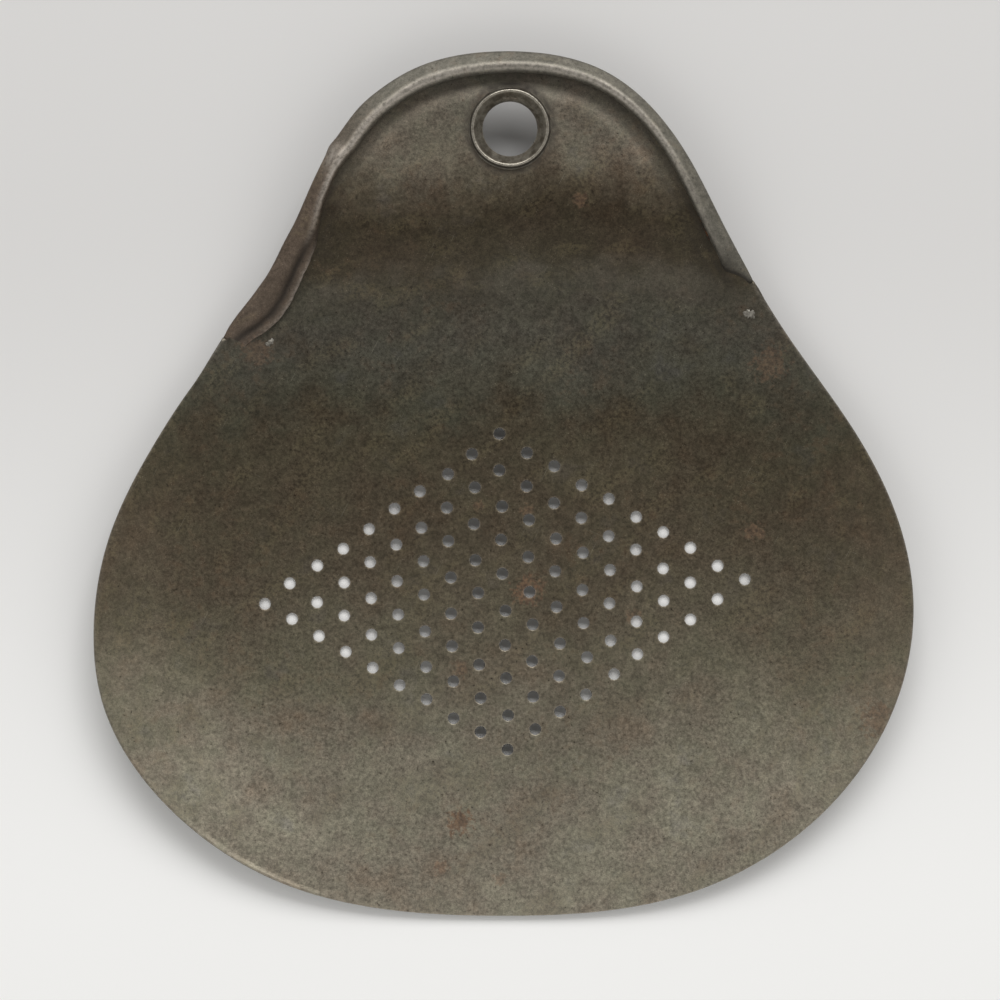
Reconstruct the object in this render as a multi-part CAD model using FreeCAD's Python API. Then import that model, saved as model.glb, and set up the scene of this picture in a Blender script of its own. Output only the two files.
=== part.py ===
import FreeCAD, Part
import math
import os

from FreeCAD import Vector

# Milk skimmer of tinned sheet iron. It lies on its belly with the hollow side up: +Z is up,
# +Y runs from the front edge to the hanging hole, and +X is to the right of that. The origin is
# under the middle of the outline, at the level it stands on. All sizes are in millimetres.

# Overall sizes of the pan
skimmer_length = 165.5
pan_width = 156.0
sheet_thickness = 0.6
dish_depth = 8.5
front_height = 1.1
belly_from_front = 60.7
dish_length_behind = 95.0
belly_flat_share = 0.26
side_steepness = 0.7
belly_wear = 0.12

# The middle of the belly is sprung up a little, so the pan stands on two worn spots beside it
arch_height = 1.5
arch_half_width = 38.0
arch_fade = 30.0

# Handle: the sheet bends up behind the dish and levels out at the head
bend_from_top = 45.5
bend_slope = 0.5
bend_softness = 1.5
rise_length = 24.0

# Rolled edge round the head and the flaps at its two ends
wire_diameter = 1.4
wire_clearance = 0.12
roll_thickness = 0.46
edge_bend_radius = 0.9
slant_degrees = 140.0
slant_length = 1.9
crest_degrees = 285.0
drop_length = 0.75
roll_right_reach = 68.5
roll_left_reach = 82.0
round_right_reach = 60.0
round_left_reach = 52.0
wire_right_reach = 58.0
wire_left_reach = 44.5
flat_fold_radius = 0.75
flat_fold_degrees = 188.5
right_end_flatness = 0.75
end_slit = 0.4
tail_overlap = 0.9
neck_length = 0.2
sections_per_stretch = 9

# Hanging hole with its eyelet
hole_from_top = 14.6
hole_offset = 1.2
eyelet_bore_diameter = 10.4
eyelet_crest_diameter = 14.4
eyelet_lip_diameter = 15.9
eyelet_height = 1.35
eyelet_metal = 0.45
eyelet_back_diameter = 14.2
eyelet_clearance = 0.05
level_ground_radius = 8.4
level_ground_blend = 6.0

# Strainer holes: a rhombus of rows that lean to both sides
strainer_rows = 10
strainer_hole_diameter = 2.3
strainer_step_across = 5.15
strainer_step_along = 3.36
strainer_across_turn = 2.7
strainer_along_turn = 1.5
strainer_from_front = 62.5
strainer_scatter = 0.28

# Solder tacks at the two ends of the rolled edge: length, width and height over the sheet
tack_left_size = (2.4, 1.7, 0.5)
tack_right_size = (3.6, 1.8, 0.4)
tack_left_inset = 7.5
tack_left_along = 77.5
tack_right_inset = 3.6
tack_right_along = 73.5

TOP = skimmer_length / 2
FRONT = -skimmer_length / 2
SIDE = pan_width / 2
BELLY_Y = FRONT + belly_from_front
BEND_Y = TOP - bend_from_top
HOLE_X = hole_offset
HOLE_Y = TOP - hole_from_top
CREST_RADIUS = wire_diameter / 2 + wire_clearance + roll_thickness / 2
SLANT = math.radians(slant_degrees)
CREST_TURN = math.radians(crest_degrees) - SLANT
BEND_LENGTH = edge_bend_radius * SLANT
CREST_LENGTH = CREST_RADIUS * CREST_TURN
FLAP_LENGTH = BEND_LENGTH + slant_length + CREST_LENGTH + drop_length
EDGE_INSET = edge_bend_radius + roll_thickness / 2
UP = Vector(0, 0, 1)


def outline_points():
    """Points of the outline, clockwise from the top: head ones hang from the top, pan ones from the front."""
    return [
        Vector(0.8, TOP, 0),
        Vector(19.6, TOP - 4.0, 0),
        Vector(33.1, TOP - 17.0, 0),
        Vector(43.2, TOP - 36.0, 0),
        Vector(SIDE - 22.9, FRONT + 110.6, 0),
        Vector(SIDE - 9.8, FRONT + 91.6, 0),
        Vector(SIDE - 1.7, FRONT + 72.6, 0),
        Vector(SIDE, FRONT + 59.5, 0),
        Vector(SIDE - 3.0, FRONT + 42.3, 0),
        Vector(SIDE - 14.2, FRONT + 23.3, 0),
        Vector(SIDE - 38.5, FRONT + 6.0, 0),
        Vector(-1.5, FRONT, 0),
        Vector(-SIDE + 37.0, FRONT + 6.0, 0),
        Vector(-SIDE + 12.3, FRONT + 23.3, 0),
        Vector(-SIDE + 1.5, FRONT + 42.3, 0),
        Vector(-SIDE, FRONT + 56.0, 0),
        Vector(-SIDE + 2.6, FRONT + 72.6, 0),
        Vector(-SIDE + 11.5, FRONT + 91.6, 0),
        Vector(-SIDE + 24.0, FRONT + 110.6, 0),
        Vector(-41.5, TOP - 36.0, 0),
        Vector(-32.1, TOP - 17.0, 0),
        Vector(-18.4, TOP - 4.0, 0),
    ]


def make_outline():
    curve = Part.BSplineCurve()
    curve.interpolate(Points=outline_points(), PeriodicFlag=True)
    return curve


OUTLINE = make_outline()
OUTLINE_LENGTH = OUTLINE.length()


def outline_at(reach):
    """Point and outward direction of the outline at a distance from the top, to the right if positive."""
    distance = reach % OUTLINE_LENGTH
    u = OUTLINE.parameterAtDistance(distance, OUTLINE.FirstParameter)
    along = OUTLINE.tangent(u)[0]
    outward = Vector(-along.y, along.x, 0)
    point = OUTLINE.value(u)
    return point, outward


def smooth_over(value, softness):
    """Zero below zero and the value itself above, with a soft corner."""
    if value > 12 * softness:
        return value
    return softness * math.log1p(math.exp(value / softness))


def blend_step(share):
    share = max(0.0, min(1.0, share))
    return share * share * (3 - 2 * share)


def bare_height(x, y):
    """Height of the underside, before the ground round the hanging hole is levelled."""
    past_bend = smooth_over(y - BEND_Y, bend_softness)
    along = y - past_bend - BELLY_Y
    reach = dish_length_behind if along > 0 else belly_from_front
    spread = max(math.hypot(x / SIDE, along / reach), 0.001)
    sideways = (x / SIDE / spread) ** 2
    share = spread ** (1 + side_steepness * sideways)
    climb = max(0.0, share - belly_flat_share) / (1 - belly_flat_share)
    rise = min(past_bend, rise_length)
    handle = bend_slope * (rise - rise * rise / (2 * rise_length))
    front_depth = front_height + (dish_depth - front_height) * sideways
    depth = dish_depth if along > 0 else front_depth
    return depth * climb * climb + handle + arch(x, y) - belly_wear


def arch(x, y):
    """How far the middle of the belly is sprung up, fading towards the front edge and the bend."""
    across = max(0.0, 1 - (x / arch_half_width) ** 2)
    ahead = blend_step((y - FRONT) / (arch_fade + 5.0))
    behind = blend_step((BEND_Y + 5.0 - y) / arch_fade)
    return arch_height * across * across * ahead * behind


HOLE_LEVEL = bare_height(HOLE_X, HOLE_Y)


def underside(x, y):
    away = math.hypot(x - HOLE_X, y - HOLE_Y) - level_ground_radius
    share = blend_step(away / level_ground_blend)
    return HOLE_LEVEL + (bare_height(x, y) - HOLE_LEVEL) * share


def make_sheet():
    """The dished sheet, worn flat where it stands and set back where the rolled edge carries on."""
    margin = 8.0
    columns = 44
    rows = 58
    grid = []
    for i in range(columns):
        x = -SIDE - margin + (2 * SIDE + 2 * margin) * i / (columns - 1)
        line = []
        for j in range(rows):
            y = FRONT - margin + (skimmer_length + 2 * margin) * j / (rows - 1)
            line.append(Vector(x, y, underside(x, y)))
        grid.append(line)
    surface = Part.BSplineSurface()
    surface.interpolate(grid)
    slab = surface.toShape().extrude(UP * sheet_thickness)
    plan = Part.Face(Part.Wire([OUTLINE.toShape()]))
    plan.translate(UP * -10)
    sheet = slab.common(plan.extrude(UP * 80))
    worn_away = Part.makeBox(pan_width, skimmer_length, 10, Vector(-SIDE, FRONT, -10))
    return sheet.cut(worn_away).cut(edge_band())


def edge_band():
    """The strip of the outline that the rolled edge takes up, as an upright block."""
    first = -roll_left_reach - end_slit
    last = roll_right_reach + end_slit
    count = 5 * sections_per_stretch
    inner = []
    outer = []
    for i in range(count + 1):
        point, outward = outline_at(first + (last - first) * i / count)
        inner.append(point - outward * (EDGE_INSET + neck_length))
        outer.append(point + outward * 3.0)
    inner_curve = Part.BSplineCurve()
    inner_curve.interpolate(Points=inner)
    outer_curve = Part.BSplineCurve()
    outer_curve.interpolate(Points=outer)
    wire = Part.Wire([
        inner_curve.toShape(),
        Part.makeLine(inner[-1], outer[-1]),
        outer_curve.toShape(),
        Part.makeLine(outer[0], inner[0]),
    ])
    face = Part.Face(wire)
    face.translate(UP * -10)
    return face.extrude(UP * 80)


def flatness_at(reach):
    """How far the roll is opened at a place: 0 is round and 1 is a flat flap."""
    if reach > 0:
        span = roll_right_reach - round_right_reach
        return right_end_flatness * blend_step((reach - round_right_reach) / span)
    span = roll_left_reach - round_left_reach
    return blend_step((-reach - round_left_reach) / span)


def curl_heading(distance, flatness):
    """Direction of the sheet's middle line at a distance along the curl."""
    if distance < BEND_LENGTH:
        round_turn = distance / edge_bend_radius
    else:
        past_slant = max(0.0, distance - BEND_LENGTH - slant_length)
        round_turn = SLANT + min(past_slant / CREST_RADIUS, CREST_TURN)
    flat_turn = min(distance / flat_fold_radius, math.radians(flat_fold_degrees))
    return round_turn + (flat_turn - round_turn) * flatness


def roll_profile(flatness):
    """Middle line of the rolled sheet as (outward, up, heading) from the outline and the underside."""
    steps = 120
    stops = 20
    outward = 0.0
    up = sheet_thickness / 2
    widest = 0.0
    line = [(0.0, up, 0.0)]
    for i in range(steps):
        heading = curl_heading(FLAP_LENGTH * (i + 0.5) / steps, flatness)
        outward += math.cos(heading) * FLAP_LENGTH / steps
        up += math.sin(heading) * FLAP_LENGTH / steps
        widest = max(widest, outward)
        if (i + 1) % (steps // stops) == 0:
            heading = curl_heading(FLAP_LENGTH * (i + 1) / steps, flatness)
            line.append((outward, up, heading))
    shift = -widest - roll_thickness / 2
    moved = [(a + shift, b, h) for a, b, h in line]
    tail_start = -EDGE_INSET - tail_overlap
    tail = [(tail_start + (moved[0][0] - tail_start) * k / 3, sheet_thickness / 2, 0.0) for k in range(3)]
    return tail + moved


def edge_frame(reach):
    """Outline point on the underside, with the outward and upward directions of the sheet there."""
    point, outward = outline_at(reach)
    step = 1.0
    inner = point - outward * (EDGE_INSET + step)
    outer = point - outward * (EDGE_INSET - step)
    slope = (underside(outer.x, outer.y) - underside(inner.x, inner.y)) / (2 * step)
    foot = point - outward * EDGE_INSET
    along = Vector(outward.y, -outward.x, 0)
    lean = Vector(outward.x, outward.y, slope).normalize()
    rise = lean.cross(along)
    if rise.z < 0:
        rise = rise * -1
    rise.normalize()
    foot.z = underside(foot.x, foot.y) + sheet_thickness / 2
    origin = foot + lean * EDGE_INSET - rise * (sheet_thickness / 2)
    return origin, lean, rise


def roll_section(reach):
    origin, lean, rise = edge_frame(reach)
    half = roll_thickness / 2
    outer = []
    inner = []
    for a, b, heading in roll_profile(flatness_at(reach)):
        side_a = math.sin(heading) * half
        side_b = -math.cos(heading) * half
        outer.append(origin + lean * (a + side_a) + rise * (b + side_b))
        inner.append(origin + lean * (a - side_a) + rise * (b - side_b))
    inner.reverse()
    outer_curve = Part.BSplineCurve()
    outer_curve.interpolate(Points=outer)
    inner_curve = Part.BSplineCurve()
    inner_curve.interpolate(Points=inner)
    return Part.Wire([
        outer_curve.toShape(),
        Part.makeLine(outer[-1], inner[0]),
        inner_curve.toShape(),
        Part.makeLine(inner[-1], outer[0]),
    ])


def roll_places():
    """Distances from the top at which the rolled edge has a section."""
    stops = [-roll_left_reach, -round_left_reach, 0.0, round_right_reach, roll_right_reach]
    counts = [sections_per_stretch, sections_per_stretch, sections_per_stretch, 4]
    places = [stops[0]]
    for start, end, count in zip(stops, stops[1:], counts):
        for i in range(count):
            places.append(start + (end - start) * (i + 1) / count)
    return places


def make_rolled_edge():
    wires = [roll_section(reach) for reach in roll_places()]
    return Part.makeLoft(wires, True, False)


def strainer_centres():
    """Centres of the strainer holes, punched by hand and so slightly out of line."""
    across_turn = math.radians(strainer_across_turn)
    along_turn = math.radians(strainer_along_turn)
    middle = (strainer_rows - 1) / 2
    centres = []
    for i in range(strainer_rows):
        for j in range(strainer_rows):
            across = (i - j) * strainer_step_across
            along = (2 * middle - i - j) * strainer_step_along
            across += strainer_scatter * math.sin(12.7 * i + 5.3 * j * j)
            along += strainer_scatter * math.cos(7.9 * j + 3.1 * i * i)
            x = across * math.cos(across_turn) - along * math.sin(along_turn)
            y = across * math.sin(across_turn) + along * math.cos(along_turn)
            centres.append((x, FRONT + strainer_from_front + y))
    return centres


def make_punches():
    radius = strainer_hole_diameter / 2
    punches = [Part.makeCylinder(radius, 80, Vector(x, y, -10)) for x, y in strainer_centres()]
    punches.append(Part.makeCylinder(eyelet_neck_radius() + eyelet_clearance, 80, Vector(HOLE_X, HOLE_Y, -10)))
    return Part.makeCompound(punches)


def make_pan():
    whole = make_sheet().fuse(make_rolled_edge())
    punched = whole.cut(make_punches())
    return max(punched.Solids, key=lambda solid: solid.Volume)


def crest_centre():
    """Middle of the wire: its distance in from the outline and its height over the underside."""
    outward = edge_bend_radius * math.sin(SLANT)
    outward += slant_length * math.cos(SLANT)
    outward -= CREST_RADIUS * math.sin(SLANT)
    up = sheet_thickness / 2 + edge_bend_radius * (1 - math.cos(SLANT))
    up += slant_length * math.sin(SLANT)
    up += CREST_RADIUS * math.cos(SLANT)
    return EDGE_INSET - outward, up


def make_wire():
    """The stiffening wire, as a round bar bent along the middle of the roll."""
    radius = wire_diameter / 2
    inset, level = crest_centre()
    count = 4 * sections_per_stretch
    middle = []
    for i in range(count + 1):
        reach = -wire_left_reach + (wire_left_reach + wire_right_reach) * i / count
        origin, lean, rise = edge_frame(reach)
        middle.append(origin - lean * inset + rise * level)
    path = Part.BSplineCurve()
    path.interpolate(Points=middle)
    start = path.value(path.FirstParameter)
    ahead = path.tangent(path.FirstParameter)[0]
    ring = Part.Wire([Part.Circle(start, ahead, radius).toShape()])
    return Part.Wire([path.toShape()]).makePipeShell([ring], True, False)


def eyelet_neck_radius():
    return eyelet_bore_diameter / 2 + eyelet_metal


def make_eyelet():
    """Pressed ring: a lip on the sheet, a crest, a funnel, the bore and the edge clinched behind."""
    bore = eyelet_bore_diameter / 2
    neck = eyelet_neck_radius()
    crest = eyelet_crest_diameter / 2
    lip = eyelet_lip_diameter / 2
    back = eyelet_back_diameter / 2
    top = HOLE_LEVEL + sheet_thickness + eyelet_clearance
    below = HOLE_LEVEL - eyelet_clearance
    shape = [
        (bore, below - eyelet_metal + 0.2),
        (bore, top + 0.1),
        (crest - 0.25, top + eyelet_height - 0.05),
        (crest, top + eyelet_height),
        (crest + 0.25, top + eyelet_height - 0.1),
        (lip, top + 0.25),
        (lip, top),
        (lip - 0.45, top),
        (crest - 0.1, top + eyelet_height - 0.6),
        (neck, top + 0.05),
        (neck, below),
        (back, below),
        (back, below - eyelet_metal + 0.1),
        (back - 0.1, below - eyelet_metal),
        (bore + 0.2, below - eyelet_metal),
    ]
    corners = [Vector(HOLE_X + r, HOLE_Y, z) for r, z in shape]
    face = Part.Face(Part.makePolygon(corners + [corners[0]]))
    return face.revolve(Vector(HOLE_X, HOLE_Y, 0), UP, 360)


def make_tack(reach, inset, size, pan):
    """A flat drop of solder on the sheet, running along the edge."""
    length, width, height = size
    point, outward = outline_at(reach)
    spot = point - outward * inset
    spot.z = underside(spot.x, spot.y) + sheet_thickness
    drop = Part.makeSphere(1.0)
    stretch = FreeCAD.Matrix()
    stretch.scale(length / 2, width / 2, height)
    drop = drop.transformGeometry(stretch)
    drop.rotate(Vector(0, 0, 0), UP, math.degrees(math.atan2(outward.y, outward.x)) + 90)
    drop.translate(spot)
    above = Part.makeBox(20, 20, 20, spot + Vector(-10, -10, -0.3))
    pieces = drop.common(above).cut(pan)
    return max(pieces.Solids, key=lambda solid: solid.CenterOfMass.z * 1000 + solid.Volume)


def save(shape, name):
    shape.exportStep("parts/" + name + ".step")
    box = shape.BoundBox
    print(name, len(shape.Solids), "valid", shape.isValid(), "volume", round(shape.Volume, 1),
          "x", round(box.XMin, 2), round(box.XMax, 2), "y", round(box.YMin, 2), round(box.YMax, 2),
          "z", round(box.ZMin, 2), round(box.ZMax, 2))


def build():
    os.makedirs("parts", exist_ok=True)
    pan = make_pan()
    save(pan, "skimmer_pan")
    save(make_wire(), "rim_wire")
    save(make_eyelet(), "hanging_eyelet")
    save(make_tack(-tack_left_along, tack_left_inset, tack_left_size, pan), "solder_tack_left")
    save(make_tack(tack_right_along, tack_right_inset, tack_right_size, pan), "solder_tack_right")


build()
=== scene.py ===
import bpy
import math
import numpy as np
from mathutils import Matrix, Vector
from mathutils.geometry import delaunay_2d_cdt
from mathutils.kdtree import KDTree


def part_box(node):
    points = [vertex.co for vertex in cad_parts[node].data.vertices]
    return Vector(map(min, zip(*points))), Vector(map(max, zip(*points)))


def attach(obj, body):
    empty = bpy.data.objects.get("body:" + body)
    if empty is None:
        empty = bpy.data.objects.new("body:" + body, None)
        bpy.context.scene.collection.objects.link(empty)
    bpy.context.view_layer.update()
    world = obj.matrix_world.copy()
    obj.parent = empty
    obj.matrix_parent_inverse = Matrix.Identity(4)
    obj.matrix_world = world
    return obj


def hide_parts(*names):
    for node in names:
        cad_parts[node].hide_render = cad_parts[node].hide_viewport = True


# The milk skimmer's looks: the dished sheet with its rolled edge and strainer holes, the pressed
# ring, the drops of solder, aged tin, and a pale studio floor. Shapes are worked out in millimetres
# in the frame of the model, and MM turns them into metres.

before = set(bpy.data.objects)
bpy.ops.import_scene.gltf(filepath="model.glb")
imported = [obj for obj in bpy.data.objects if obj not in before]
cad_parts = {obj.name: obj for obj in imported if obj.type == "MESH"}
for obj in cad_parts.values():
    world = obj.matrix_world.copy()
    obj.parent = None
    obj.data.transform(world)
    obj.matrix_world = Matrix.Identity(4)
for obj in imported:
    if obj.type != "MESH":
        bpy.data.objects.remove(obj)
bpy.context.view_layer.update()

MM = 0.001

# Sizes of the pan, as in the model
LENGTH = 165.5
WIDTH = 156.0
SHEET = 0.6
DISH_DEPTH = 8.5
FRONT_HEIGHT = 1.1
BELLY_FROM_FRONT = 60.7
DISH_BEHIND = 95.0
BELLY_FLAT_SHARE = 0.26
SIDE_STEEPNESS = 0.7
BELLY_WEAR = 0.12
ARCH_HEIGHT = 1.5
ARCH_HALF_WIDTH = 38.0
ARCH_FADE = 30.0
BEND_FROM_TOP = 45.5
BEND_SLOPE = 0.5
BEND_SOFTNESS = 1.5
RISE_LENGTH = 24.0

# Rolled edge
ROLL_SHEET = 0.46
EDGE_BEND_RADIUS = 0.9
SLANT = math.radians(140.0)
SLANT_LENGTH = 1.9
CREST_RADIUS = 1.07
CREST_TURN = math.radians(285.0) - SLANT
DROP_LENGTH = 0.75
ROLL_RIGHT = 68.5
ROLL_LEFT = 82.0
ROUND_RIGHT = 60.0
ROUND_LEFT = 52.0
FLAT_FOLD_RADIUS = 0.75
FLAT_FOLD = math.radians(188.5)
RIGHT_FLATNESS = 0.35

# Height that hammering and wear have left of the roll, and where its crest lies past the slant
CREST_WORN = 0.97
CREST_PAST_SLANT = 0.95

# How far the bare edge is filed back, and what its rounding leaves of the sheet's thickness there
EDGE_TRIM = 0.12
RIM_ROUNDING = 0.72

# Narrow lip that stands up along the front edge
FRONT_LIP_AT = -203.0
FRONT_LIP_LENGTH = 16.0
FRONT_LIP_WIDTH = 1.1
FRONT_LIP_HEIGHT = 0.30

# Where the edge changes its form, as distances from the top along the outline, left is negative
FLAP_OPENS = 54.0
FLAP_OPEN_OVER = 9.0
FLAP_SETTLES = 75.0
FLAP_SETTLE_OVER = 7.0
RIGHT_CRUSH = 61.5
RIGHT_CRUSH_OVER = 7.0

# Width of the roll against its plain form, by distance from the top
ROLL_WIDTH_AT = [
    (-54, 1.0), (-50, 0.86), (-44, 0.84), (-40, 1.1), (-15, 1.16),
    (0, 1.08), (20, 0.95), (34, 0.84), (58, 0.86),
]

# How bright the roll's crest is worn and painted with a highlight, by distance from the top
CREST_WEAR_AND_SHEEN_AT = [
    (-60, 0.0), (-52, 0.5), (-46, 0.85), (-34, 1.0), (-18, 1.0), (0, 0.55),
    (20, 0.8), (34, 0.7), (46, 0.45), (60, 0.1), (64, 0.0),
]

# Where the roll's raw edge is longer or shorter than its plain form, in millimetres
FLAP_LONGER = 0.9
FLAP_LONGER_AT = -71.5
FLAP_LONGER_OVER = 5.0
SETTLED_SHORTER = 1.6
CRUSHED_SHORTER = 5.1

# Bump on the left shoulder of the roll
BUMP_HEIGHT = 0.22
BUMP_AT = -41.8
BUMP_LENGTH = 2.2

# Where the hand-worked edge stands out from its plain line: distance from the top, width, amount
EDGE_PUSHES = [
    (-30.5, 4.0, 0.22),
    (-40.4, 1.5, 0.30),
    (-60.5, 3.4, 0.22),
    (-67.5, 2.0, -0.08),
    (-77.5, 4.0, 0.26),
    (-91.0, 5.0, -0.26),
    (62.0, 5.0, 0.12),
    (68.2, 1.2, -0.08),
    (70.6, 1.4, 0.08),
    (-75.0, 13.0, 0.38),
    (66.0, 14.0, 0.38),
]

# Crossed waves of the hand-worked sheet: height, and for each wave its direction, length and start
SHEET_WAVES = [
    (0.05, (1.0, 0.0, 7.3, 1.1), (0.0, 1.0, 9.1, 0.4)),
    (0.035, (1.0, 0.6, 5.2, 2.0), (-0.4, 1.0, 6.7, 0.9)),
    (0.02, (1.0, -0.8, 2.9, 0.3), (0.5, 1.0, 3.3, 1.7)),
]

# Groove and ridges that run beside the roll: distance from the edge, width, height
GROOVE = (5.6, 1.7, -0.28)
OUTER_RIDGE = (4.9, 0.45, 0.07)
INNER_RIDGE = (8.8, 1.6, 0.10)

# Punched holes draw the sheet down, the pressed ring draws it up
HOLE_SINK = 0.05
HOLE_SINK_OVER = 0.25
RING_SWELL = 0.26
RING_SWELL_OVER = 2.4

# The front edge droops: where it starts from the top, over what length, and its two waves
DROOP_FROM = 150.0
DROOP_OVER = 40.0
DROOP = (0.0, 3.6, -0.22)
DROOP_RISE = (7.5, 4.0, 0.10)

# Hanging hole and eyelet
HOLE_FROM_TOP = 14.6
HOLE_X = 1.2
BORE_RADIUS = 5.2
CREST_RING_RADIUS = 7.2
LIP_RADIUS = 7.95
EYELET_HEIGHT = 1.35
EYELET_METAL = 0.45
EYELET_BACK_RADIUS = 7.1
EYELET_CLEARANCE = 0.05
LEVEL_RADIUS = 8.4
LEVEL_BLEND = 6.0
RING_UNEVEN = 0.006

# Solder drops: how far they stand out of the sheet and reach into it
TACK_SWELL = 0.26
TACK_ROOT = 0.12

# Strainer holes
STRAINER_ROWS = 10
STRAINER_RADIUS = 1.15
STEP_ACROSS = 5.15
STEP_ALONG = 3.36
ACROSS_TURN = math.radians(2.7)
ALONG_TURN = math.radians(1.5)
STRAINER_FROM_FRONT = 62.5
STRAINER_SCATTER = 0.28

TOP = LENGTH / 2
FRONT = -LENGTH / 2
SIDE = WIDTH / 2
BELLY_Y = FRONT + BELLY_FROM_FRONT
BEND_Y = TOP - BEND_FROM_TOP
HOLE_Y = TOP - HOLE_FROM_TOP
EDGE_INSET = EDGE_BEND_RADIUS + ROLL_SHEET / 2
BEND_LENGTH = EDGE_BEND_RADIUS * SLANT
CREST_LENGTH = CREST_RADIUS * CREST_TURN
FLAP_LENGTH = BEND_LENGTH + SLANT_LENGTH + CREST_LENGTH + DROP_LENGTH

# Fineness of the meshes
EDGE_STEP = 0.9
GRID_STEP = 1.0
ROLL_ROWS = 190
CURL_STOPS = 34
HOLE_SIDES = 24
RING_SIDES = 96
TACK_RINGS = 14
TACK_SIDES = 48


def outline_points():
    """The model's outline points, clockwise from the top."""
    return np.array([
        (0.8, TOP),
        (19.6, TOP - 4.0),
        (33.1, TOP - 17.0),
        (43.2, TOP - 36.0),
        (SIDE - 22.9, FRONT + 110.6),
        (SIDE - 9.8, FRONT + 91.6),
        (SIDE - 1.7, FRONT + 72.6),
        (SIDE, FRONT + 59.5),
        (SIDE - 3.0, FRONT + 42.3),
        (SIDE - 14.2, FRONT + 23.3),
        (SIDE - 38.5, FRONT + 6.0),
        (-1.5, FRONT),
        (-SIDE + 37.0, FRONT + 6.0),
        (-SIDE + 12.3, FRONT + 23.3),
        (-SIDE + 1.5, FRONT + 42.3),
        (-SIDE, FRONT + 56.0),
        (-SIDE + 2.6, FRONT + 72.6),
        (-SIDE + 11.5, FRONT + 91.6),
        (-SIDE + 24.0, FRONT + 110.6),
        (-41.5, TOP - 36.0),
        (-32.1, TOP - 17.0),
        (-18.4, TOP - 4.0),
    ])


def closed_spline(points, samples):
    """Points along the closed cubic spline that passes through the given points."""
    count = len(points)
    following = np.roll(points, -1, axis=0)
    spans = np.linalg.norm(following - points, axis=1)
    system = np.zeros((count, count))
    pull = np.zeros((count, 2))
    for i in range(count):
        before = spans[i - 1]
        after = spans[i]
        system[i, i - 1] += before
        system[i, i] += 2 * (before + after)
        system[i, (i + 1) % count] += after
        pull[i] = 6 * ((following[i] - points[i]) / after - (points[i] - points[i - 1]) / before)
    bends = np.linalg.solve(system, pull)
    line = []
    for i in range(count):
        span = spans[i]
        t = np.linspace(0, span, samples, endpoint=False)[:, None]
        bend_a = bends[i]
        bend_b = bends[(i + 1) % count]
        piece = bend_a * (span - t) ** 3 / (6 * span) + bend_b * t ** 3 / (6 * span)
        piece = piece + (points[i] / span - bend_a * span / 6) * (span - t)
        piece = piece + (following[i] / span - bend_b * span / 6) * t
        line.append(piece)
    return np.concatenate(line)


OUTLINE = closed_spline(outline_points(), 200)
OUTLINE_CLOSED = np.vstack([OUTLINE, OUTLINE[:1]])
OUTLINE_STEPS = np.linalg.norm(np.diff(OUTLINE_CLOSED, axis=0), axis=1)
OUTLINE_REACH = np.concatenate([[0], np.cumsum(OUTLINE_STEPS)])
OUTLINE_LENGTH = OUTLINE_REACH[-1]


def on_outline(distance):
    """Points of the outline at distances along it, from 0 to its length."""
    return np.stack([np.interp(distance, OUTLINE_REACH, OUTLINE_CLOSED[:, k]) for k in (0, 1)], axis=-1)


def outline_at(reach):
    """Points of the outline and their outward directions, at distances right of the top."""
    distance = np.mod(reach, OUTLINE_LENGTH)
    ahead = np.mod(distance + 0.05, OUTLINE_LENGTH)
    behind = np.mod(distance - 0.05, OUTLINE_LENGTH)
    along = on_outline(ahead) - on_outline(behind)
    along = along / np.linalg.norm(along, axis=-1, keepdims=True)
    outward = np.stack([-along[..., 1], along[..., 0]], axis=-1)
    return on_outline(distance), outward


def blend_step(share):
    share = np.clip(share, 0, 1)
    return share * share * (3 - 2 * share)


def bell(value, middle, width):
    return np.exp(-((value - middle) / width) ** 2)


def ridge(value, middle, width, height):
    return height * bell(value, middle, width)


def bare_height(x, y):
    past_bend = BEND_SOFTNESS * np.logaddexp(0, (y - BEND_Y) / BEND_SOFTNESS)
    along = y - past_bend - BELLY_Y
    reach = np.where(along > 0, DISH_BEHIND, BELLY_FROM_FRONT)
    spread = np.maximum(np.hypot(x / SIDE, along / reach), 0.001)
    sideways = (x / SIDE / spread) ** 2
    share = spread ** (1 + SIDE_STEEPNESS * sideways)
    climb = np.maximum(0, share - BELLY_FLAT_SHARE) / (1 - BELLY_FLAT_SHARE)
    rise = np.minimum(past_bend, RISE_LENGTH)
    handle = BEND_SLOPE * (rise - rise * rise / (2 * RISE_LENGTH))
    front_depth = FRONT_HEIGHT + (DISH_DEPTH - FRONT_HEIGHT) * sideways
    depth = np.where(along > 0, DISH_DEPTH, front_depth)
    return depth * climb * climb + handle + arch(x, y) - BELLY_WEAR


def arch(x, y):
    """How far the middle of the belly is sprung up, fading towards the front edge and the bend."""
    across = np.maximum(0, 1 - (x / ARCH_HALF_WIDTH) ** 2)
    ahead = blend_step((y - FRONT) / (ARCH_FADE + 5.0))
    behind = blend_step((BEND_Y + 5.0 - y) / ARCH_FADE)
    return ARCH_HEIGHT * across * across * ahead * behind


HOLE_LEVEL = float(bare_height(HOLE_X, HOLE_Y))


def underside(x, y):
    away = np.hypot(x - HOLE_X, y - HOLE_Y) - LEVEL_RADIUS
    share = blend_step(away / LEVEL_BLEND)
    return np.maximum(0, HOLE_LEVEL + (bare_height(x, y) - HOLE_LEVEL) * share)


def wave(x, y, across, along, length, start):
    return np.sin((across * x + along * y) / length + start)


def hand_work(x, y):
    """Small unevenness of hand-worked sheet, in millimetres."""
    return sum(height * wave(x, y, *first) * wave(x, y, *second) for height, first, second in SHEET_WAVES)


def hand_push(reach):
    """How far the hand-worked edge stands out from its plain line, in millimetres."""
    return sum(amount * bell(reach, at, width) for at, width, amount in EDGE_PUSHES)


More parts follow.
